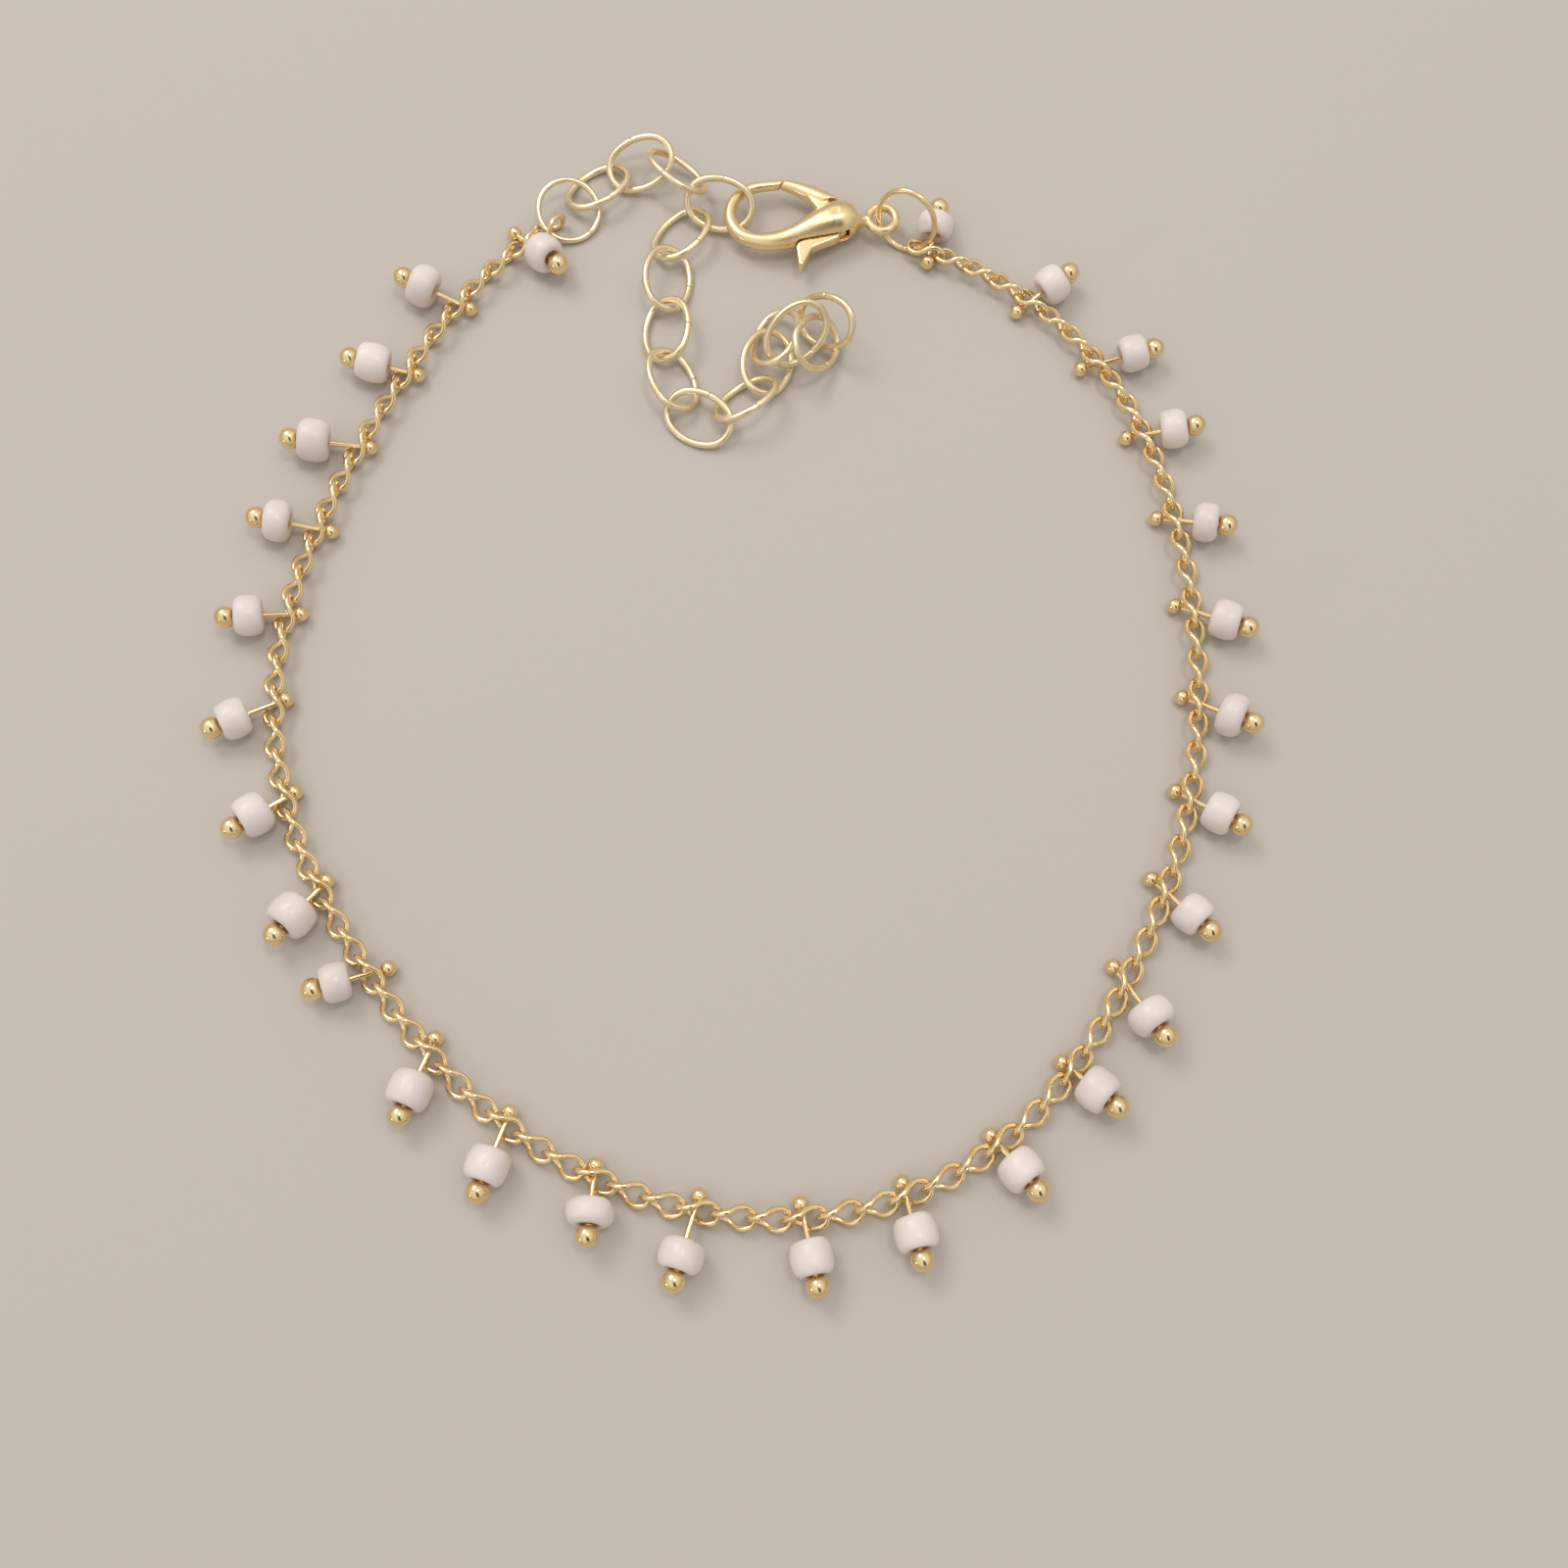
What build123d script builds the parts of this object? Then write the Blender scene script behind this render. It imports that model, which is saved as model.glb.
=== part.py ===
from build123d import *
import math
import os

# A beaded anklet lying on a table, its clasp fastened. X is to the right, Y towards the clasp and
# Z up. Lengths are in mm and angles in degrees. Everything is placed about the middle of the loop,
# and moved at the end so that the middle of the whole object's underside is the origin.

# Curb chain: every link is one oval of round wire, twisted so that its two ends cross its
# neighbours' ends.
CHAIN_WIRE = 0.38
CHAIN_PITCH = 2.20
CHAIN_PLAY = 0.13            # free gap between the wires of two links
CHAIN_LINKS = 84
CHAIN_AXIS_Z = 0.87
LINK_END_RADIUS = 0.60       # of the wire's centre line, at the link's two ends
LINK_END_HALF_ANGLE = 60     # half of the arc that each end covers
LINK_TWIST = 37              # each end is turned this far out of the link's mean plane
LINK_ROLL = 50               # how far the links lean, inner wire up

# The loop that the chain follows: distance from the loop's middle by bearing, counter-clockwise.
LOOP_RADII = [
    # bearing, radius
    (112, 37.0), (120, 35.7), (140, 32.2), (160, 30.9), (180, 31.1), (200, 31.2),
    (220, 31.3), (240, 33.0), (260, 35.0), (280, 36.2), (300, 35.2), (320, 32.6),
    (340, 31.2), (360, 30.8), (380, 31.9), (400, 34.0), (420, 34.9), (432, 34.6),
]
FIRST_LINK_AT = 0.5          # along the loop, from its first point

# Drops: a pin with a ball at each end passes through about every third link and carries a bead.
PIN_WIRE = 0.36
INNER_BALL = 1.04
OUTER_BALL = 1.50
PIN_HEIGHT = 0.85            # of the pin's middle where it crosses the chain's line
BEAD_HOLE = 1.04
BEAD_MOUTH = 0.35            # rounding of the hole's rim
BEAD_TO_BALL = 0.58          # from the bead's end to the middle of the outer ball
BEAD_SAG = 0.08              # the pin meets the bead this far below half the bead's width
DROPS = [
    # link of the chain, bead width, bead length, reach from the chain's line to the bead, lean,
    # place along the link, reach from the chain's line to the inner ball
    (1, 2.70, 1.95, 1.95, -174, -0.25, 1.30),
    (4, 3.00, 1.95, 2.60, 14, 0.10, 0.95),
    (7, 2.70, 2.25, 2.20, 18, 0.05, 0.90),
    (10, 3.00, 2.15, 2.95, 22, 0.00, 0.80),
    (13, 2.90, 1.75, 2.55, 11, 0.15, 1.00),
    (16, 2.85, 1.90, 2.35, 16, 0.10, 0.95),
    (19, 2.70, 1.95, 2.65, 22, -0.05, 0.85),
    (22, 2.85, 2.05, 2.10, 19, 0.00, 0.80),
    (25, 2.95, 2.20, 2.20, 24, 0.10, 0.80),
    (28, 2.60, 1.80, 2.00, -18, 0.05, 1.30),
    (31, 2.80, 2.20, 2.45, 27, -0.05, 1.05),
    (34, 2.75, 2.15, 2.60, 17, 0.00, 0.85),
    (37, 3.00, 1.65, 2.05, 20, -0.10, 0.80),
    (40, 2.85, 1.90, 2.70, -5, -0.20, 0.95),
    (43, 2.65, 2.15, 2.35, 8, -0.10, 0.90),
    (46, 2.70, 2.05, 2.20, -7, -0.30, 0.85),
    (49, 2.80, 2.05, 1.90, 2, -0.30, 0.80),
    (52, 2.80, 2.05, 1.85, -4, -0.30, 0.80),
    (55, 3.00, 1.85, 2.55, -29, -0.30, 1.30),
    (58, 2.60, 1.90, 2.15, -24, -0.30, 1.25),
    (61, 2.70, 1.95, 2.05, -20, -0.35, 1.10),
    (64, 3.00, 1.75, 2.25, -23, -0.25, 1.15),
    (67, 2.65, 1.95, 2.20, -25, -0.25, 1.30),
    (70, 2.70, 1.70, 2.00, -22, -0.05, 1.30),
    (73, 2.80, 1.85, 1.95, -15, 0.15, 1.25),
    (76, 2.60, 1.90, 2.40, -22, -0.15, 1.35),
    (79, 2.70, 1.85, 1.80, -16, 0.15, 1.25),
    (83, 2.60, 1.70, 1.80, 7, -0.30, 0.85),
]

# Jump rings: round wire rings, tipped up by a slope towards a bearing.
JUMP_RING_WIDTH = 4.82       # outside
JUMP_RING_WIRE = 0.42
CLASP_RING_AT = (11.85, 33.6, 2.3)
CLASP_RING_SLOPE = (67, 61)          # steepness, bearing of its highest point
EXTENDER_RING_AT = (-12.8, 35.4, 1.0)
EXTENDER_RING_SLOPE = (20, 120)

# Extender: plain oval cable links, lying loosely.
EXTENDER_WIRE = 0.50
EXTENDER_LENGTH = 5.30       # of one link, outside
EXTENDER_WIDTH = 4.00
EXTENDER_END_RADIUS = 1.55   # of the wire's centre line
EXTENDER_LINKS = [
    # x, y, heading, roll, pitch, lift off the table
    (-10.7, 37.5, 38, -20, 0, 0.0),
    (-7.6, 39.2, 18, 20, 15, 0.2),
    (-4.8, 38.0, -45, -40, 0, 0.6),
    (-1.7, 35.6, -10, 35, -5, 0.2),
    (-4.5, 33.5, 52, -20, 0, 0.0),
    (-5.4, 29.6, -97, -30, 0, 0.0),
    (-5.4, 25.5, -90, 25, 0, 0.0),
    (-4.9, 21.4, -72, -30, 0, 0.0),
    (-3.0, 18.5, -28, 20, 0, 0.0),
    (0.3, 19.8, 38, -35, 0, 0.0),
    (1.8, 22.9, 75, 20, 0, 0.0),
    (2.4, 24.6, 80, -30, -10, 0.2),
    (3.9, 24.4, 40, 40, 20, 0.6),
    (5.3, 23.8, 50, 40, -30, 0.2),
    (6.0, 25.4, -30, 50, 30, 0.2),
]

# Lobster clasp, in its own frame: X towards its eye, Y towards its gate, origin at the rivet.
CLASP_AT = (6.7, 34.2, 1.36)
EYE_AT = (3.45, 0.20)
EYE_RADIUS = 1.00            # of the eye's rim, at the middle of its metal
EYE_RIM = 0.66               # thickness of the rim
BODY_SECTIONS = [
    # x, y, heading of the metal, width, height: from the hook's tip round, through the bulb, to the eye
    (-3.75, 3.12, 176, 0.74, 0.74),
    (-5.30, 2.95, 185, 0.78, 0.78),
    (-6.96, 2.26, 225, 0.82, 0.82),
    (-7.65, 0.60, 270, 0.88, 0.88),
    (-6.96, -1.06, 315, 1.02, 1.02),
    (-5.30, -1.72, 360, 1.22, 1.22),
    (-3.00, -1.33, 378, 1.62, 1.70),
    (-1.60, -0.75, 383, 2.25, 2.30),
    (-0.25, -0.15, 380, 2.85, 2.68),
    (0.50, 0.05, 370, 2.90, 2.68),
    (1.45, 0.10, 364, 1.95, 1.90),
    (2.45, 0.18, 360, 0.90, 0.86),
]
SLOT_WIDTH = 1.00
SLOT_RADIUS = 1.32
SLOT_REACH = 3.60
GATE_SLOT = (92, 176)        # directions over which the slot opens for the gate
TAB_SLOT = (226, 318)        # and for the thumb tab's tail
LEVER_THICKNESS = 0.84
LEVER_HUB_RADIUS = 1.20
GATE_SECTIONS = [
    # x, y, heading, width, height: from over the bulb out past the gate's tip
    (0.10, 1.45, 158, 1.00, 1.00),
    (-0.75, 1.78, 158, 1.30, 1.20),
    (-1.70, 2.26, 156, 1.24, 1.14),
    (-2.70, 2.74, 160, 1.02, 0.98),
    (-4.00, 3.15, 166, 0.76, 0.76),
]
GATE_BASE = 1.62             # the gate's thick part begins this far from the rivet
GATE_ROOT_WIDTH = 1.00
GATE_LENGTH = 4.84           # from the rivet to the gate's tip, which is cut round the rivet
GATE_GAP = 0.08              # between the gate's tip and the hook's tip
TAIL_CIRCLES = [
    # x, y, radius: the outline of the lever's tail is stretched round these
    (-0.10, -0.85, 0.60),
    (-0.05, -1.30, 0.42),
    (-2.35, -2.30, 0.42),
]
TAB_CIRCLES = [
    # and the outline of the thumb tab at its end round these
    (-1.95, -2.25, 0.36),
    (-2.45, -2.40, 0.36),
    (-2.45, -3.70, 0.20),
]
TAB_PLAY = 0.10              # between the thumb tab and the end of its slot
RIVET_RADIUS = 0.35
RIVET_LENGTH = 2.62
RIVET_PLAY = 0.02            # between the rivet and the body's hole, on the radius
LEVER_PLAY = 0.05            # between the rivet and the lever's hole, on the radius


def bend(start, direction, end, wire):
    """Round wire along the one arc that leaves start in a direction and reaches end."""
    chord = end - start
    half_turn = direction.get_angle(chord)
    radius = chord.length / (2 * math.sin(math.radians(half_turn)))
    normal = direction.cross(chord).normalized()
    centre = start + normal.cross(direction.normalized()) * radius
    section = Plane(origin=start, z_dir=direction) * Circle(wire / 2)
    return revolve(section, Axis(centre, normal), 2 * half_turn)


def joined(pieces):
    """One solid out of pieces that meet face to face."""
    whole = pieces[0]
    for piece in pieces[1:]:
        whole = whole + piece
    return whole


def curb_link():
    """A twisted oval link along X: an arc at each end, and two arcs for each side wire."""
    half_length = (CHAIN_PITCH + CHAIN_WIRE + CHAIN_PLAY) / 2
    twist = -math.radians(LINK_TWIST)
    arc = math.radians(LINK_END_HALF_ANGLE)
    centre_x = half_length - LINK_END_RADIUS

    def turned(x, y):
        return Vector(x, y * math.cos(twist), y * math.sin(twist))

    near = turned(centre_x + LINK_END_RADIUS * math.cos(arc), -LINK_END_RADIUS * math.sin(arc))
    far = turned(centre_x + LINK_END_RADIUS * math.cos(arc), LINK_END_RADIUS * math.sin(arc))
    along_near = turned(math.sin(arc), math.cos(arc))
    along_far = turned(-math.sin(arc), math.cos(arc))
    # The side wire's middle stands on the Y axis, where the wire runs square to that axis.
    run = far.X ** 2 + far.Z ** 2
    lead = -(along_far.X * far.X + along_far.Z * far.Z)
    rise = (math.sqrt(lead ** 2 + along_far.Y ** 2 * run) - lead) / along_far.Y
    middle = Vector(0, far.Y + rise, 0)
    end = bend(near, along_near, far, CHAIN_WIRE)
    quarter = bend(far, along_far, middle, CHAIN_WIRE)
    return joined([
        end,
        quarter,
        quarter.rotate(Axis.Y, 180),
        end.rotate(Axis.Y, 180),
        quarter.rotate(Axis.Z, 180),
        quarter.rotate(Axis.X, 180),
    ])


def oval_link(length, width, end_radius, wire):
    """A flat oval link along X, of two end arcs and two flatter side arcs."""
    half_length = (length - wire) / 2
    half_width = (width - wire) / 2
    end_x = half_length - end_radius
    over = half_width - end_radius
    side_y = (end_x ** 2 - over ** 2) / (2 * over)
    arc = math.atan2(side_y, end_x)
    meet_x = end_x + end_radius * math.cos(arc)
    meet_y = end_radius * math.sin(arc)
    corners = [
        Vector(meet_x, -meet_y),
        Vector(meet_x, meet_y),
        Vector(-meet_x, meet_y),
        Vector(-meet_x, -meet_y),
    ]
    headings = [math.pi / 2 - arc, math.pi / 2 + arc, -math.pi / 2 - arc, -math.pi / 2 + arc]
    pieces = []
    for i, heading in enumerate(headings):
        direction = Vector(math.cos(heading), math.sin(heading))
        pieces.append(bend(corners[i], direction, corners[(i + 1) % 4], wire))
    return joined(pieces)


def loop_path():
    """The closed way of the chain's line round the loop, without the clasp's stretch."""
    points = []
    for bearing, radius in LOOP_RADII:
        angle = math.radians(bearing)
        points.append(Vector(radius * math.cos(angle), radius * math.sin(angle), CHAIN_AXIS_Z))
    return Edge.make_spline(points)


def chain_frames(path):
    """Where each link lies: X along the chain, Y into the loop, Z up."""
    frames = []
    for i in range(CHAIN_LINKS):
        at = FIRST_LINK_AT + i * CHAIN_PITCH
        origin = path.position_at(at, position_mode=PositionMode.LENGTH)
        along = path.tangent_at(at, position_mode=PositionMode.LENGTH)
        frames.append(Plane(origin=origin, x_dir=along, z_dir=(0, 0, 1)))
    return frames


def bead(width, length):
    """A round bead along X with a drilled hole: its ends are rounded from rim to hole."""
    hole = BEAD_HOLE / 2
    half = length / 2
    shoulder = width / 2 - hole - BEAD_MOUTH
    bore = Line((BEAD_MOUTH - half, hole), (half - BEAD_MOUTH, hole))
    mouth = JernArc(bore @ 1, (1, 0), BEAD_MOUTH, 90)
    rim = JernArc(mouth @ 1, (0, 1), shoulder, 90)
    outside = Line(rim @ 1, (shoulder - half, width / 2))
    back_rim = JernArc(outside @ 1, (-1, 0), shoulder, 90)
    back_mouth = JernArc(back_rim @ 1, (0, -1), BEAD_MOUTH, 90)
    profile = make_face([bore, mouth, rim, outside, back_rim, back_mouth])
    return revolve(profile, Axis.X, 360)


def bead_rest_height(width, length, slope):
    """Height of a tilted bead's middle when the bead rests on the table."""
    rounding = width / 2 - BEAD_HOLE / 2 - BEAD_MOUTH
    across = (width / 2 - rounding) * math.cos(slope)
    endways = (length / 2 - rounding) * math.sin(slope)
    return across + endways + rounding


def ball_pin(inner_reach, outer_reach):
    """A straight wire along X with a ball at each end; X is 0 where it crosses the chain."""
    length = inner_reach + outer_reach
    wire = Pos(length / 2 - inner_reach, 0, 0) * Rot(0, 90, 0) * Cylinder(PIN_WIRE / 2, length)
    inner = Pos(-inner_reach, 0, 0) * Sphere(INNER_BALL / 2)
    outer = Pos(outer_reach, 0, 0) * Sphere(OUTER_BALL / 2)
    return joined([wire, inner, outer])


def drops(frames):
    """Every pin, and every bead, in place on its link."""
    pins, beads = [], []
    for number, width, length, reach, lean, slide, inner_reach in DROPS:
        link = frames[number]
        crossing = link.origin + link.x_dir * slide
        crossing.Z = PIN_HEIGHT
        outward = (link.y_dir * -1).rotate(Axis.Z, lean)
        slope = math.atan2(width / 2 - BEAD_SAG - PIN_HEIGHT, reach)
        along = outward * math.cos(slope) + Vector(0, 0, math.sin(slope))
        upright = outward * -math.sin(slope) + Vector(0, 0, math.cos(slope))
        pin_frame = Plane(origin=crossing, x_dir=along, z_dir=upright)
        bead_middle = crossing + outward * reach
        bead_middle.Z = bead_rest_height(width, length, slope)
        bead_frame = Plane(origin=bead_middle, x_dir=along, z_dir=upright)
        outer_reach = reach / math.cos(slope) + length / 2 + BEAD_TO_BALL
        pins.append(pin_frame.location * ball_pin(inner_reach, outer_reach))
        beads.append(bead_frame.location * bead(width, length))
    return pins, beads


def jump_ring(centre, steepness, bearing):
    """A round wire ring that rises towards a bearing."""
    tilt = math.radians(steepness)
    high = math.radians(bearing)
    uphill = Vector(
        math.cos(high) * math.cos(tilt), math.sin(high) * math.cos(tilt), math.sin(tilt)
    )
    across = Vector(-math.sin(high), math.cos(high), 0)
    frame = Plane(origin=centre, x_dir=uphill, z_dir=uphill.cross(across))
    ring = Torus((JUMP_RING_WIDTH - JUMP_RING_WIRE) / 2, JUMP_RING_WIRE / 2)
    return frame.location * ring


def extender():
    """The extender's links, each set down on the table and lifted by its own amount."""
    link = oval_link(EXTENDER_LENGTH, EXTENDER_WIDTH, EXTENDER_END_RADIUS, EXTENDER_WIRE)
    links = []
    for x, y, heading, roll, pitch, lift in EXTENDER_LINKS:
        laid = Rot(0, 0, heading) * Rot(0, -pitch, 0) * Rot(roll, 0, 0) * link
        low = laid.bounding_box().min.Z
        links.append(Pos(x, y, lift - low) * laid)
    return links


def tapered_arm(sections):
    """A rounded bar through oval sections, each square to its own heading."""
    faces = []
    for x, y, heading, width, height in sections:
        angle = math.radians(heading)
        along = (math.cos(angle), math.sin(angle), 0)
        plane = Plane(origin=(x, y, 0), x_dir=(0, 0, 1), z_dir=along)
        faces.append(plane * Ellipse(height / 2, width / 2))
    return loft(faces)


def sector(radius, first, last, thickness):
    """A flat slice of a disc between two directions."""
    start, end = math.radians(first), math.radians(last)
    middle = (start + end) / 2
    edge = ThreePointArc(
        (radius * math.cos(start), radius * math.sin(start)),
        (radius * math.cos(middle), radius * math.sin(middle)),
        (radius * math.cos(end), radius * math.sin(end)),
    )
    outline = make_face([Line((0, 0), edge @ 0), edge, Line(edge @ 1, (0, 0))])
    return extrude(outline, thickness / 2, both=True)


def thumb_tab(margin, thickness):
    """The flat thumb tab and its tail, or with a margin the room that they need."""
    flats = []
    for outline in (TAIL_CIRCLES, TAB_CIRCLES):
        circles = [Edge.make_circle(r + margin).moved(Pos(x, y)) for x, y, r in outline]
        flats.append(extrude(make_hull(circles), thickness / 2, both=True))
    return joined(flats)


def clasp_body():
    """Hook, bulb and eye cast in one, with a slot through the bulb for the lever."""
    eye = Pos(*EYE_AT, 0) * Torus(EYE_RADIUS, EYE_RIM / 2)
    # The hook's tip is cut back round the rivet, so that the gate's tip swings clear of it.
    gate_room = Cylinder(GATE_LENGTH + GATE_GAP, 2) & Pos(-4, 3, 0) * Box(3, 3, 2)
    body = (tapered_arm(BODY_SECTIONS) - gate_room) + eye
    body = body - Cylinder(SLOT_RADIUS, SLOT_WIDTH)
    body = body - sector(SLOT_REACH, *GATE_SLOT, SLOT_WIDTH)
    body = body - sector(SLOT_REACH, *TAB_SLOT, SLOT_WIDTH)
    body = body - thumb_tab(TAB_PLAY, SLOT_WIDTH)
    return body - Cylinder(RIVET_RADIUS + RIVET_PLAY, 4)


def clasp_lever():
    """A flat hub on the rivet, with the round gate on one side and the thumb tab on the other."""
    hub = Cylinder(LEVER_HUB_RADIUS, LEVER_THICKNESS)
    root_x, root_y = GATE_SECTIONS[2][0], GATE_SECTIONS[2][1]
    root_plate = Box(math.hypot(root_x, root_y), GATE_ROOT_WIDTH, LEVER_THICKNESS)
    root_turn = math.degrees(math.atan2(root_y, root_x))
    gate_root = Pos(root_x / 2, root_y / 2, 0) * Rot(0, 0, root_turn) * root_plate
    gate = (tapered_arm(GATE_SECTIONS) & Cylinder(GATE_LENGTH, 2)) - Cylinder(GATE_BASE, 2)
    lever = joined([hub, gate_root, gate, thumb_tab(0, LEVER_THICKNESS)])
    return lever - Cylinder(RIVET_RADIUS + LEVER_PLAY, LEVER_THICKNESS)


path = loop_path()
links = chain_frames(path)
link = Plane.XY.rotated((LINK_ROLL, 0, 0)).location * curb_link()
pins, beads = drops(links)
clasp = Pos(*CLASP_AT)

nodes = {
    "curb_chain": [frame.location * link for frame in links],
    "ball_pins": pins,
    "clasp_jump_ring": [jump_ring(CLASP_RING_AT, *CLASP_RING_SLOPE)],
    "clasp_body": [clasp * clasp_body()],
    "clasp_lever": [clasp * clasp_lever()],
    "clasp_rivet": [clasp * Cylinder(RIVET_RADIUS, RIVET_LENGTH)],
    "extender_jump_ring": [jump_ring(EXTENDER_RING_AT, *EXTENDER_RING_SLOPE)],
    "extender_chain": extender(),
}
for number, one in enumerate(beads, 1):
    nodes[f"bead_{number:02d}"] = [one]

# The middle of the whole object's underside becomes the origin.
box = Compound([solid for solids in nodes.values() for solid in solids]).bounding_box()
shift = Pos(-box.center().X, -box.center().Y, -box.min.Z)

os.makedirs("parts", exist_ok=True)
for name, solids in nodes.items():
    placed = [shift * solid for shape in solids for solid in shape.solids()]
    export_step(placed[0] if len(placed) == 1 else Compound(placed), f"parts/{name}.step")

print("size", box.size)
print("lever hinge", (shift * clasp).position)
print("loop middle", shift.position)
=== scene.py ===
"""The looks of the beaded anklet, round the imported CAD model.

Each loose solid of the frame says where one link, pin or bead lies, and a finer piece is built in
its place. Forms are worked out in millimetres, and turned into metres as their meshes are made.
"""

import math

import bpy
import numpy as np
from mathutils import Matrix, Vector, noise


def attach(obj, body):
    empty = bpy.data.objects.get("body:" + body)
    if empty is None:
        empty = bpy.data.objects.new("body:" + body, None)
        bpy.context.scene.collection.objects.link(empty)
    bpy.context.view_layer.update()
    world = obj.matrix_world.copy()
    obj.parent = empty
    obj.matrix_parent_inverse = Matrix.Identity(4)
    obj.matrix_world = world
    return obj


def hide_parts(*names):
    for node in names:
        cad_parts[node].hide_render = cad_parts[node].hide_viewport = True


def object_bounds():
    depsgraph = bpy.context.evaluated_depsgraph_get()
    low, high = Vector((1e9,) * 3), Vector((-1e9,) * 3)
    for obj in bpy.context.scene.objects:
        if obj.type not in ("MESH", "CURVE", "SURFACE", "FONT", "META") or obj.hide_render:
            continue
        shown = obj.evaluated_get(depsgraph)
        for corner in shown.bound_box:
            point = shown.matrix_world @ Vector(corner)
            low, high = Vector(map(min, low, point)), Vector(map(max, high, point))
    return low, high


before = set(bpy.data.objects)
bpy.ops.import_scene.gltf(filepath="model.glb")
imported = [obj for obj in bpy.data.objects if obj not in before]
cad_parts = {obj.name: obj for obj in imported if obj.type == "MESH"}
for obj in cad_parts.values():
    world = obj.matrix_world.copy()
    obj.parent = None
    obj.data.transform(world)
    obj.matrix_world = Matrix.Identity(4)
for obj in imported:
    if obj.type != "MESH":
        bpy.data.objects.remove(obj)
cad_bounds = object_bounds()

MM = 0.001

# Curb chain
CHAIN_WIRE = 0.38
LINK_LENGTH = 2.71           # of the wire's centre line, end to end
LINK_END_RADIUS = 0.60
LINK_END_HALF_ANGLE = 60
LINK_TWIST = 37

# Drops
PIN_WIRE = 0.36
INNER_BALL = 1.04
OUTER_BALL = 1.50
BALL_NECK = 0.10             # fillet between a pin's wire and its balls
BEAD_HOLE = 1.04
BEAD_MOUTH = 0.30            # rounding of the hole's rim
BEAD_UNEVENNESS = 0.05       # share of a point's distance from the bead's middle
BEAD_UNEVENNESS_SIZE = 1.6   # how far apart its bulges and dips lie

# Rings and extender
JUMP_RING_WIRE = 0.42
EXTENDER_WIRE = 0.50
EXTENDER_LENGTH = 5.30
EXTENDER_WIDTH = 4.00
EXTENDER_END_RADIUS = 1.55
SEAM_WIDTH = 0.07            # where the ends of a ring's wire meet
SEAM_DEPTH = 0.35            # share of the wire's radius

# Clasp
CASTING_VOXEL = 0.07
CASTING_SMOOTHING = 14

# Sides of the meshes' round sections
CURB_SIDES = 12
RING_SIDES = 16
PIN_SIDES = 24
BEAD_SIDES = 40


# ---- where the frame's solids lie ----


def loose_solids(node):
    """The separate solids of a CAD node, each as triangles (count, corner, xyz) in mm."""
    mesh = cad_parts[node].data
    mesh.calc_loop_triangles()
    corners = np.empty(3 * len(mesh.vertices), np.float32)
    mesh.vertices.foreach_get("co", corners)
    corners = corners.reshape(-1, 3).astype(float) / MM
    triangles = np.empty(3 * len(mesh.loop_triangles), np.int32)
    mesh.loop_triangles.foreach_get("vertices", triangles)
    triangles = triangles.reshape(-1, 3)
    # Corners at one place are one point, and a solid's points all come to its lowest label.
    point = np.unique(np.round(corners, 3), axis=0, return_inverse=True)[1].ravel()
    points = point[triangles]
    label = np.arange(point.max() + 1)
    while True:
        lowest = np.repeat(label[points].min(axis=1), 3)
        spread = label.copy()
        np.minimum.at(spread, points.ravel(), lowest)
        spread = spread[spread]
        if (spread == label).all():
            break
        label = spread
    owner = label[points[:, 0]]
    return [corners[triangles[owner == one]] for one in np.unique(owner)]


def lie(triangles):
    """The middle of a solid's surface and its axes as rows, the longest first."""
    edges = triangles[:, 1:] - triangles[:, :1]
    areas = np.linalg.norm(np.cross(edges[:, 0], edges[:, 1]), axis=1)
    centre = np.average(triangles.mean(axis=1), axis=0, weights=areas)
    away = triangles - centre
    total = away.sum(axis=1)
    spread = np.einsum("n,nij,nik->jk", areas, away, away)
    spread += np.einsum("n,nj,nk->jk", areas, total, total)
    axes = np.linalg.eigh(spread)[1]
    longest, wide = axes[:, 2], axes[:, 1]
    return centre, np.array([longest, wide, np.cross(longest, wide)])


# ---- forms ----


def unit(vectors):
    return vectors / np.linalg.norm(vectors, axis=-1, keepdims=True)


def arc(start, direction, end, steps):
    """Points from start towards end, along the one arc that leaves start in a direction."""
    start, direction, end = (np.array(v, float) for v in (start, direction, end))
    chord = end - start
    direction = unit(direction)
    half_turn = math.acos(np.dot(unit(chord), direction))
    radius = np.linalg.norm(chord) / (2 * math.sin(half_turn))
    inward = unit(np.cross(np.cross(direction, chord), direction))
    turns = np.linspace(0, 2 * half_turn, steps, endpoint=False)[:, None]
    return start + radius * (np.sin(turns) * direction + (1 - np.cos(turns)) * inward)


def closed_grid(rings, sides):
    """Quads of a tube that closes on itself."""
    ring, side = np.meshgrid(np.arange(rings), np.arange(sides), indexing="ij")
    next_ring, next_side = (ring + 1) % rings, (side + 1) % sides
    corners = [ring * sides + side, ring * sides + next_side]
    corners += [next_ring * sides + next_side, next_ring * sides + side]
    return np.stack(corners, axis=-1).reshape(-1, 4)


def wire_ring(line, radius, sides):
    """Round wire along a closed line round the origin."""
    along = unit(np.roll(line, -1, axis=0) - np.roll(line, 1, axis=0))
    out = unit(line - (line * along).sum(axis=1, keepdims=True) * along)
    over = np.cross(out, along)
    angles = np.linspace(0, 2 * math.pi, sides, endpoint=False)[None, :, None]
    section = np.cos(angles) * out[:, None] + np.sin(angles) * over[:, None]
    thickness = np.broadcast_to(np.asarray(radius, float), len(line))[:, None, None]
    points = line[:, None] + thickness * section
    return points.reshape(-1, 3), closed_grid(len(line), sides)


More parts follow.
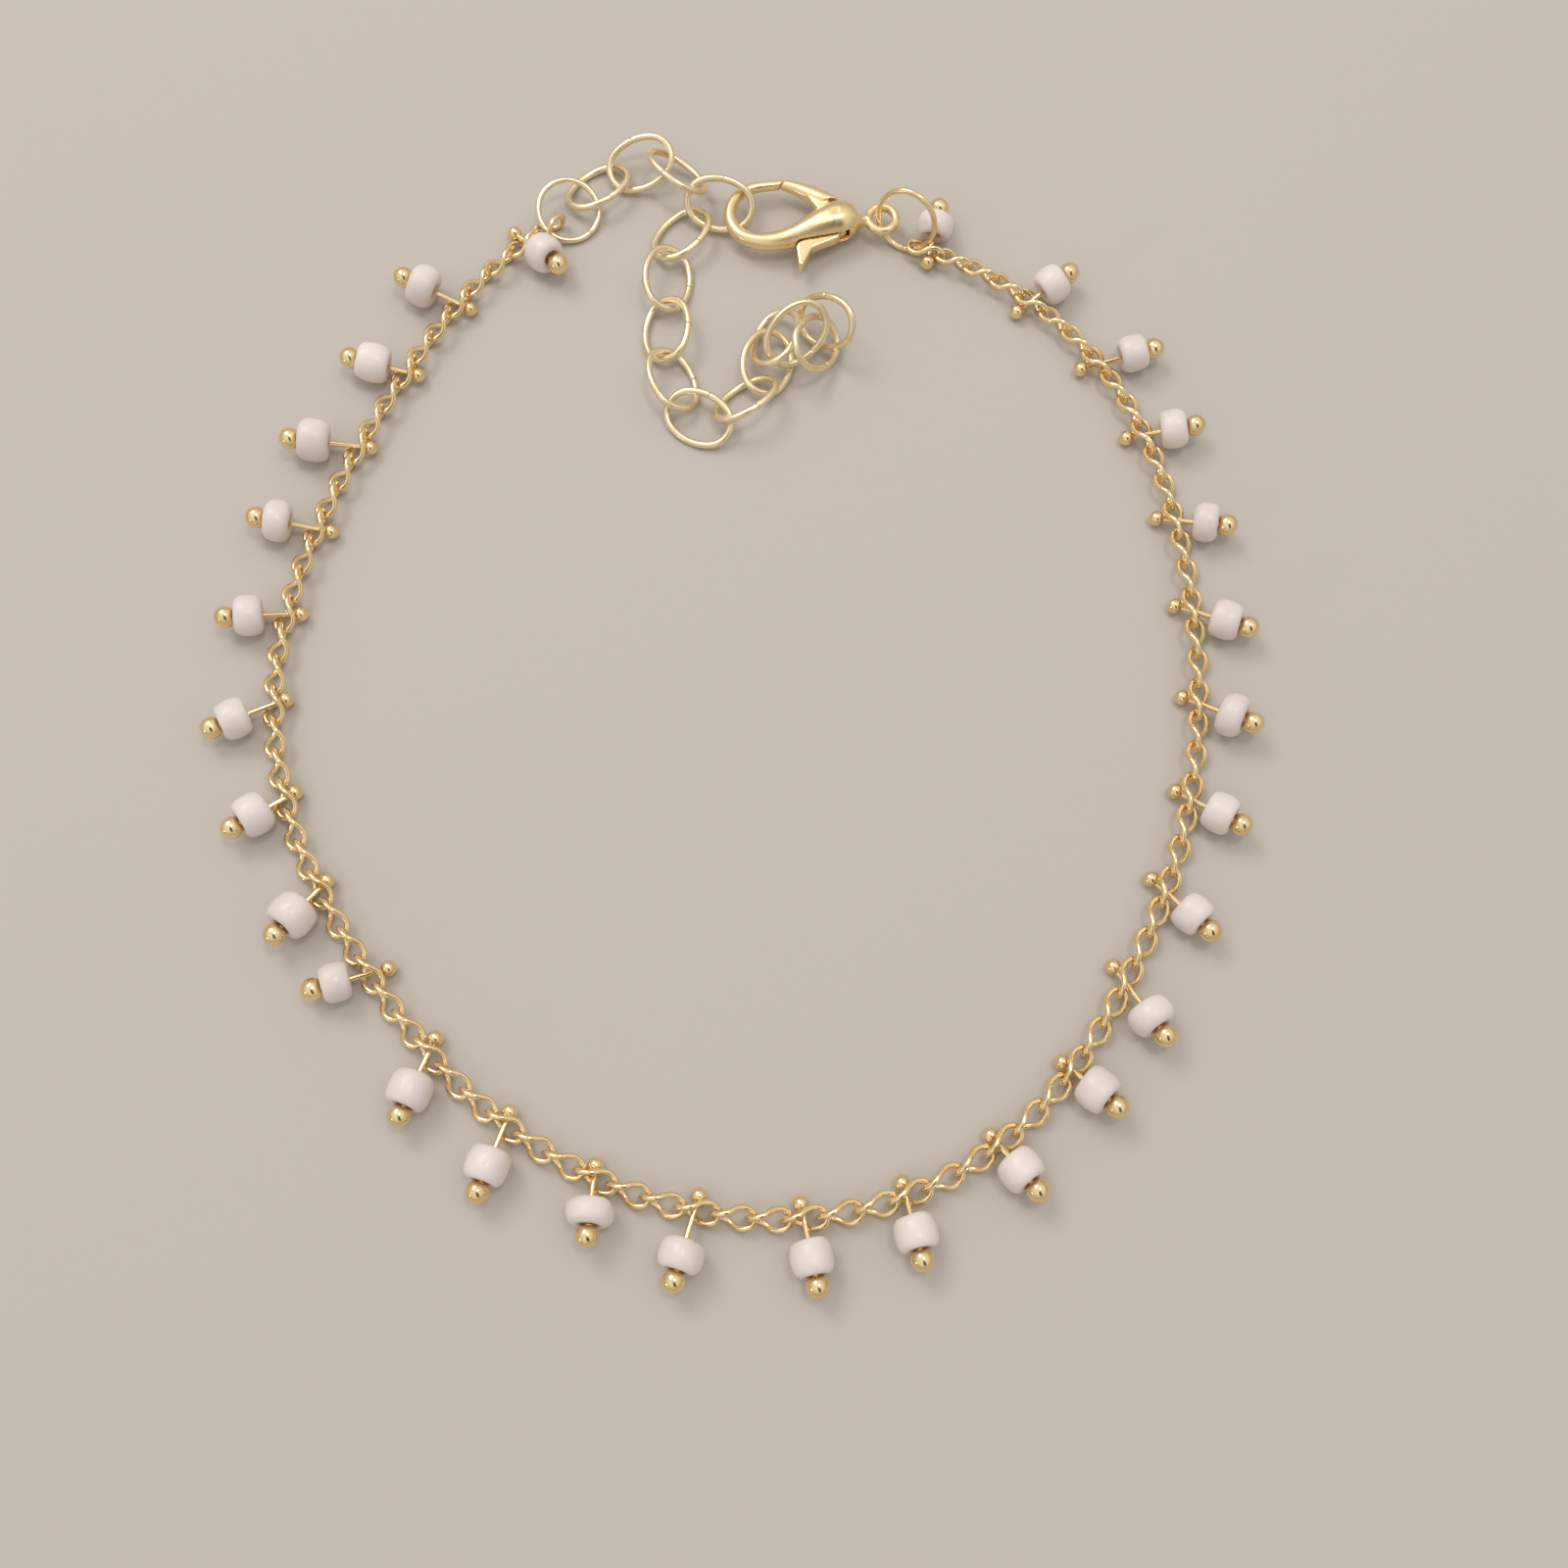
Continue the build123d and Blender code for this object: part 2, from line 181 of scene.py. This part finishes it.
def with_seam(line, at, wire):
    """The line with a narrow groove set across it where the wire's ends meet, and its radii."""
    ahead = line[(at + 1) % len(line)] - line[at]
    ahead = unit(ahead) * SEAM_WIDTH / 2
    grooved = np.insert(line, [at, at + 1], [line[at] - ahead, line[at] + ahead], axis=0)
    radii = np.full(len(grooved), wire / 2)
    radii[at + 1] *= 1 - SEAM_DEPTH
    return grooved, radii


def curb_line():
    """Centre line of one twisted curb link: the ends are turned out of its mean plane."""
    twist = -math.radians(LINK_TWIST)
    sweep = math.radians(LINK_END_HALF_ANGLE)
    middle_x = LINK_LENGTH / 2 - LINK_END_RADIUS

    def turned(x, y):
        return np.array([x, y * math.cos(twist), y * math.sin(twist)])

    end_x, end_y = LINK_END_RADIUS * math.cos(sweep), LINK_END_RADIUS * math.sin(sweep)
    near = turned(middle_x + end_x, -end_y)
    far = turned(middle_x + end_x, end_y)
    onward = turned(-math.sin(sweep), math.cos(sweep))
    run = far[0] ** 2 + far[2] ** 2
    lead = -(onward[0] * far[0] + onward[2] * far[2])
    rise = (math.sqrt(lead**2 + onward[1] ** 2 * run) - lead) / onward[1]
    side = np.array([0, far[1] + rise, 0])
    end = arc(near, turned(math.sin(sweep), math.cos(sweep)), far, 14)
    quarter = arc(far, onward, side, 6)
    half = np.vstack([end, quarter, [side]])
    # The way from the side's middle to the other end is the first quarter turned about Y.
    back = quarter[::-1] * [-1, 1, -1]
    half = np.vstack([half, back[:-1]])
    return np.vstack([half, half * [-1, -1, 1]])


def oval_line(length, width, end_radius, wire, steps):
    """Centre line of a flat oval link: two end arcs and two flatter side arcs."""
    end_x = (length - wire) / 2 - end_radius
    over = (width - wire) / 2 - end_radius
    side_y = (end_x**2 - over**2) / (2 * over)
    sweep = math.atan2(side_y, end_x)
    meet = np.array([end_x + end_radius * math.cos(sweep), end_radius * math.sin(sweep), 0])
    end = arc(meet * [1, -1, 1], (math.sin(sweep), math.cos(sweep), 0), meet, steps)
    side = arc(meet, (-math.sin(sweep), math.cos(sweep), 0), meet * [-1, 1, 1], steps)
    half = np.vstack([end, side])
    return np.vstack([half, half * [-1, -1, 1]])


def turned_form(profile, start, along, sides, closed=False):
    """A form turned round a line: its profile is (distance along the line, radius)."""
    along = unit(np.array(along, float))
    side = unit(np.cross(along, (0.1, 0.2, 1.0)))
    over = np.cross(side, along)
    angles = np.linspace(0, 2 * math.pi, sides, endpoint=False)[None, :, None]
    around = np.cos(angles) * side + np.sin(angles) * over
    profile = np.array(profile, float)
    points = start + profile[:, None, :1] * along + profile[:, None, 1:] * around
    faces = closed_grid(len(profile), sides)
    if not closed:
        faces = faces[: (len(profile) - 1) * sides]
    return points.reshape(-1, 3), faces


def pin_profile(length):
    """A pin from its inner ball's far side to its outer ball's, with a fillet at each ball."""
    inner, outer, wire = INNER_BALL / 2, OUTER_BALL / 2, PIN_WIRE / 2
    points = []
    for ball in (inner, outer):
        # The fillet's circle touches the ball and the wire.
        reach = math.sqrt((ball + BALL_NECK) ** 2 - (wire + BALL_NECK) ** 2)
        lean = math.atan2(wire + BALL_NECK, reach)
        turns = np.linspace(0, math.pi - lean, 18)
        one = [(ball - ball * math.cos(t), ball * math.sin(t)) for t in turns]
        for t in np.linspace(math.pi / 2 - lean, 0, 5)[1:]:
            x = ball + reach - BALL_NECK * math.sin(t)
            one.append((x, wire + BALL_NECK - BALL_NECK * math.cos(t)))
        points.append(one)
    return points[0] + [(length - x, r) for x, r in reversed(points[1])]


def bead_profile(width, length):
    """Half outline of a bead: a rounded shoulder, a smaller rounding at the hole, and the bore.

    The shoulder is a superellipse, round on a short bead and squarer on a long one.
    """
    power = 2 / (1.3 + 1.5 * length / width)
    bore, rim = BEAD_HOLE / 2, BEAD_HOLE / 2 + BEAD_MOUTH
    half, rise = length / 2, width / 2 - rim
    quarter = []
    for t in np.linspace(0, math.pi / 2, 13):
        quarter.append((half * math.sin(t) ** power, rim + rise * math.cos(t) ** power))
    for t in np.linspace(0, math.pi / 2, 5)[1:]:
        x = half - BEAD_MOUTH * (1 - math.cos(t))
        quarter.append((x, rim - BEAD_MOUTH * math.sin(t)))
    quarter.append(((half - BEAD_MOUTH) / 2, bore))
    back = [(-x, r) for x, r in reversed(quarter[1:])]
    return quarter + [(0, bore)] + back


def bead_form(centre, along, width, length, number):
    """A rounded glass bead, a little uneven, as beads cut from a drawn tube and tumbled are."""
    profile = bead_profile(width, length)
    points, faces = turned_form(profile, centre, along, BEAD_SIDES, closed=True)
    shaped = []
    for point in points:
        away = point - centre
        where = Vector(away / BEAD_UNEVENNESS_SIZE) + Vector((7.3 * number, 1.7 * number, 0))
        shaped.append(centre + away * (1 + BEAD_UNEVENNESS * (noise.noise(where) - 0.2)))
    return np.array(shaped), faces


# ---- pieces ----


def new_piece(name, forms):
    """One object that holds all the forms, each given as points in mm and faces."""
    points, faces, first = [], [], 0
    for one_points, one_faces in forms:
        points.append(one_points)
        faces.append(one_faces + first)
        first += len(one_points)
    mesh = bpy.data.meshes.new(name)
    mesh.from_pydata((np.vstack(points) * MM).tolist(), [], np.vstack(faces).tolist())
    piece = bpy.data.objects.new(name, mesh)
    bpy.context.scene.collection.objects.link(piece)
    weld = piece.modifiers.new("Weld", "WELD")
    weld.merge_threshold = 0.001 * MM
    return piece


def settle(piece, body, nodes, material):
    """Bakes a piece's modifiers, shades it smooth and ties it to the frame."""
    mesh = bpy.data.meshes.new_from_object(piece.evaluated_get(bpy.context.evaluated_depsgraph_get()))
    piece.modifiers.clear()
    piece.data = mesh
    mesh.materials.clear()
    mesh.materials.append(material)
    mesh.shade_smooth()
    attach(piece, body)
    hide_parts(*nodes)
    return piece


def make_piece(name, forms, body, nodes, material):
    """One smooth piece out of forms, riding on a body and standing for CAD nodes."""
    return settle(new_piece(name, forms), body, nodes, material)


def make_casting(name, nodes, body, material):
    """A clasp part with the soft edges and flowing joins of a tumbled casting."""
    forms = []
    for node in nodes:
        points = np.vstack(loose_solids(node)).reshape(-1, 3)
        forms.append((points, np.arange(len(points)).reshape(-1, 3)))
    piece = new_piece(name, forms)
    remesh = piece.modifiers.new("Remesh", "REMESH")
    remesh.mode = "VOXEL"
    remesh.voxel_size = CASTING_VOXEL * MM
    smooth = piece.modifiers.new("Smooth", "SMOOTH")
    smooth.factor = 0.5
    smooth.iterations = CASTING_SMOOTHING
    return settle(piece, body, nodes, material)


# ---- materials ----


def new_material(name):
    material = bpy.data.materials.new(name)
    material.use_nodes = True
    nodes, links = material.node_tree.nodes, material.node_tree.links
    return material, nodes, links, nodes["Principled BSDF"]


def noise_node(nodes, links, scale, detail, rough):
    """Noise in the object's own space, so that it stays where it is as the part moves."""
    where = nodes.new("ShaderNodeTexCoord")
    texture = nodes.new("ShaderNodeTexNoise")
    texture.inputs["Scale"].default_value = scale
    texture.inputs["Detail"].default_value = detail
    texture.inputs["Roughness"].default_value = rough
    links.new(where.outputs["Object"], texture.inputs["Vector"])
    return texture


def ramp_node(nodes, links, source, stops):
    """A colour ramp over a source: stops are (position, linear colour)."""
    ramp = nodes.new("ShaderNodeValToRGB")
    for i, (position, colour) in enumerate(stops):
        stop = ramp.color_ramp.elements[i] if i < 2 else ramp.color_ramp.elements.new(position)
        stop.position = position
        stop.color = (*colour, 1)
    links.new(source, ramp.inputs["Fac"])
    return ramp


def range_node(nodes, links, source, low, high):
    """The source's middle range spread from low to high."""
    spread = nodes.new("ShaderNodeMapRange")
    spread.inputs["From Min"].default_value = 0.3
    spread.inputs["From Max"].default_value = 0.7
    spread.inputs["To Min"].default_value = low
    spread.inputs["To Max"].default_value = high
    links.new(source, spread.inputs["Value"])
    return spread


def bump_node(nodes, links, height, distance, strength, into):
    bump = nodes.new("ShaderNodeBump")
    bump.inputs["Distance"].default_value = distance
    bump.inputs["Strength"].default_value = strength
    links.new(height, bump.inputs["Height"])
    links.new(bump.outputs["Normal"], into)


def gold_material(name, light, deep, polish, grain_strength):
    """Polished plating: faint clouding of its colour, and a fine drawn and tumbled surface."""
    material, nodes, links, shader = new_material(name)
    shader.inputs["Metallic"].default_value = 1
    cloud = noise_node(nodes, links, 700, 3, 0.55)
    colour = ramp_node(nodes, links, cloud.outputs["Fac"], [(0.35, deep), (0.65, light)])
    links.new(colour.outputs["Color"], shader.inputs["Base Color"])
    grain = noise_node(nodes, links, 3500, 4, 0.6)
    rough = range_node(nodes, links, grain.outputs["Fac"], polish * 0.85, polish * 1.2)
    links.new(rough.outputs["Result"], shader.inputs["Roughness"])
    bump_node(nodes, links, grain.outputs["Fac"], 0.00002, grain_strength, shader.inputs["Normal"])
    return material


def glass_material(name):
    """Opaque pinkish glass: milky, with a soft skin and slightly different tones by bead."""
    material, nodes, links, shader = new_material(name)
    tone = noise_node(nodes, links, 160, 2, 0.5)
    stops = [(0.30, (0.77, 0.68, 0.65)), (0.70, (0.86, 0.78, 0.75))]
    colour = ramp_node(nodes, links, tone.outputs["Fac"], stops)
    links.new(colour.outputs["Color"], shader.inputs["Base Color"])
    grain = noise_node(nodes, links, 2600, 3, 0.6)
    rough = range_node(nodes, links, grain.outputs["Fac"], 0.34, 0.48)
    links.new(rough.outputs["Result"], shader.inputs["Roughness"])
    shader.inputs["Subsurface Weight"].default_value = 0.25
    shader.inputs["Subsurface Radius"].default_value = (1.0, 0.75, 0.65)
    shader.inputs["Subsurface Scale"].default_value = 0.0006
    shader.inputs["Coat Weight"].default_value = 0.25
    shader.inputs["Coat Roughness"].default_value = 0.12
    bump_node(nodes, links, grain.outputs["Fac"], 0.00002, 0.4, shader.inputs["Normal"])
    return material


GOLD = gold_material("plated_gold", (0.98, 0.78, 0.46), (0.91, 0.68, 0.35), 0.15, 0.30)
SATIN_GOLD = gold_material("plated_satin_gold", (0.97, 0.77, 0.45), (0.92, 0.70, 0.38), 0.29, 0.08)
PALE_GOLD = gold_material("plated_pale_gold", (0.96, 0.82, 0.57), (0.90, 0.75, 0.48), 0.30, 0.20)
PINK_GLASS = glass_material("milky_pink_glass")


# ---- the anklet ----


def placed(form, centre, axes):
    points, faces = form
    return points @ axes + centre, faces


curb = wire_ring(curb_line(), CHAIN_WIRE / 2, CURB_SIDES)
links = [placed(curb, *lie(solid)) for solid in loose_solids("curb_chain")]
make_piece("chain_links", links, "anklet", ["curb_chain"], GOLD)

oval = oval_line(EXTENDER_LENGTH, EXTENDER_WIDTH, EXTENDER_END_RADIUS, EXTENDER_WIRE, 24)
oval_link = wire_ring(*with_seam(oval, 36, EXTENDER_WIRE), RING_SIDES)
links = [placed(oval_link, *lie(solid)) for solid in loose_solids("extender_chain")]
make_piece("extender_links", links, "anklet", ["extender_chain"], PALE_GOLD)

for name, node, slot, material in (
    ("clasp_ring", "clasp_jump_ring", "gold", GOLD),
    ("extender_ring", "extender_jump_ring", "pale_gold", PALE_GOLD),
):
    solid = loose_solids(node)[0]
    centre, axes = lie(solid)
    radius = np.linalg.norm(solid.reshape(-1, 3) - centre, axis=1).max() - JUMP_RING_WIRE / 2
    turns = np.linspace(0, 2 * math.pi, 72, endpoint=False)
    line = radius * np.stack([np.cos(turns), np.sin(turns), 0 * turns], axis=1)
    ring = wire_ring(*with_seam(line, 9, JUMP_RING_WIRE), RING_SIDES)
    make_piece(name, [placed(ring, centre, axes)], "anklet", [node], material)

# A pin's longest axis runs through its two balls, and the larger ball is the outer one.
pins, forms = [], []
for solid in loose_solids("ball_pins"):
    centre, axes = lie(solid)
    points = solid.reshape(-1, 3) - centre
    along = points @ axes[0]
    width = np.linalg.norm(points - along[:, None] * axes[0], axis=1)
    outer = axes[0] * np.sign(along[width.argmax()])
    along = points @ outer
    start = centre + outer * along.min()
    profile = pin_profile(along.max() - along.min())
    forms.append(turned_form(profile, start, outer, PIN_SIDES))
    pins.append((start, outer))
make_piece("drop_pins", forms, "anklet", ["ball_pins"], GOLD)

for node in sorted(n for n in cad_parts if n.startswith("bead_")):
    solid = loose_solids(node)[0]
    centre = lie(solid)[0]
    starts = np.array([start for start, outer in pins])
    start, along = pins[np.linalg.norm(starts - centre, axis=1).argmin()]
    points = solid.reshape(-1, 3) - centre
    out = points @ along
    width = 2 * np.linalg.norm(points - out[:, None] * along, axis=1).max()
    number = int(node.split("_")[1])
    form = bead_form(centre, along, width, out.max() - out.min(), number)
    make_piece(f"glass_bead_{number:02d}", [form], "anklet", [node], PINK_GLASS)

make_casting("clasp_casting", ["clasp_body", "clasp_rivet"], "anklet", SATIN_GOLD)
make_casting("clasp_gate", ["clasp_lever"], "lever", SATIN_GOLD)


# ---- floor, light and camera ----

lowest, highest = cad_bounds
middle = (lowest + highest) / 2

FLOOR_COLOUR = (0.57, 0.525, 0.48)
FLOOR_REACH = 1.5            # from its middle to each edge, in metres
material, nodes, links, shader = new_material("pale_floor")
shader.inputs["Base Color"].default_value = (*FLOOR_COLOUR, 1)
shader.inputs["Roughness"].default_value = 0.9
shader.inputs["Specular IOR Level"].default_value = 0.1
mesh = bpy.data.meshes.new("floor")
signs = [(-1, -1), (1, -1), (1, 1), (-1, 1)]
corners = [(x * FLOOR_REACH, y * FLOOR_REACH, lowest.z) for x, y in signs]
mesh.from_pydata(corners, [], [(0, 1, 2, 3)])
mesh.materials.append(material)
floor = bpy.data.objects.new("floor", mesh)
bpy.context.scene.collection.objects.link(floor)


def area_lamp(name, place, size, power, tint):
    """A square soft lamp that faces the middle of the anklet; place is from there, in metres."""
    lamp = bpy.data.lights.new(name, "AREA")
    lamp.size = size
    lamp.energy = power
    lamp.color = tint
    holder = bpy.data.objects.new(name, lamp)
    holder.location = middle + Vector(place)
    holder.rotation_euler = Vector(place).to_track_quat("Z", "Y").to_euler()
    bpy.context.scene.collection.objects.link(holder)


area_lamp("window", (-0.20, 0.26, 0.42), 0.22, 0.70, (1.0, 0.98, 0.95))
area_lamp("ceiling", (0.10, 0.06, 0.50), 0.08, 0.30, (1.0, 0.96, 0.90))
area_lamp("low_side", (-0.30, -0.20, 0.10), 0.03, 0.03, (1.0, 0.97, 0.92))

ROOM_STRENGTH = 0.88
BACKDROP_COLOUR = (0.70, 0.67, 0.63)

# The room: a pale wall that brightens towards the ceiling, and whoever leans in from the front
# right, whom the metal shows as a soft dark streak.
PERSON_AT = Vector((0.24, -0.55, 0.78))
PERSON_SIZE = (0.26, 0.66, 0.50)
world = bpy.data.worlds.new("studio")
bpy.context.scene.world = world
world.use_nodes = True
nodes, links = world.node_tree.nodes, world.node_tree.links
background = nodes["Background"]
background.inputs["Strength"].default_value = ROOM_STRENGTH
where = nodes.new("ShaderNodeTexCoord")
split = nodes.new("ShaderNodeSeparateXYZ")
links.new(where.outputs["Generated"], split.inputs["Vector"])
wall = [(0.0, (0.46, 0.43, 0.40)), (0.30, (0.62, 0.60, 0.57)), (0.80, (1.0, 0.98, 0.95))]
sky = ramp_node(nodes, links, split.outputs["Z"], wall)
person = nodes.new("ShaderNodeMapping")
person.vector_type = "TEXTURE"
person.inputs["Location"].default_value = PERSON_AT
person.inputs["Rotation"].default_value = (0, 0, math.atan2(-PERSON_AT.x, PERSON_AT.y))
person.inputs["Scale"].default_value = PERSON_SIZE
links.new(where.outputs["Generated"], person.inputs["Vector"])
outside = nodes.new("ShaderNodeVectorMath")
outside.operation = "LENGTH"
links.new(person.outputs["Vector"], outside.inputs[0])
edge = [(0.60, (0.08, 0.07, 0.06)), (1.0, (1, 1, 1))]
streak = ramp_node(nodes, links, outside.outputs["Value"], edge)
room = nodes.new("ShaderNodeVectorMath")
room.operation = "MULTIPLY"
links.new(sky.outputs["Color"], room.inputs[0])
links.new(streak.outputs["Color"], room.inputs[1])
links.new(room.outputs["Vector"], background.inputs["Color"])
# The camera itself sees a plain pale backdrop.
backdrop = nodes.new("ShaderNodeBackground")
backdrop.inputs["Color"].default_value = (*BACKDROP_COLOUR, 1)
rays = nodes.new("ShaderNodeLightPath")
seen = nodes.new("ShaderNodeMixShader")
links.new(rays.outputs["Is Camera Ray"], seen.inputs["Fac"])
links.new(background.outputs["Background"], seen.inputs[1])
links.new(backdrop.outputs["Background"], seen.inputs[2])
links.new(seen.outputs["Shader"], nodes["World Output"].inputs["Surface"])

CAMERA_ELEVATION = 74
CAMERA_DISTANCE = 0.104
CAMERA_TARGET = Vector((0.00329, -0.00840, 0.0))
camera = bpy.data.cameras.new("camera")
camera.lens = 36
camera.sensor_width = 36
camera.clip_start = 0.001
viewer = bpy.data.objects.new("camera", camera)
tilt = math.radians(90 - CAMERA_ELEVATION)
viewer.rotation_euler = (tilt, 0, 0)
viewer.location = CAMERA_TARGET + CAMERA_DISTANCE * Vector((0, -math.sin(tilt), math.cos(tilt)))
bpy.context.scene.collection.objects.link(viewer)
bpy.context.scene.camera = viewer

bpy.context.scene.view_settings.view_transform = "Standard"

bpy.context.view_layer.update()
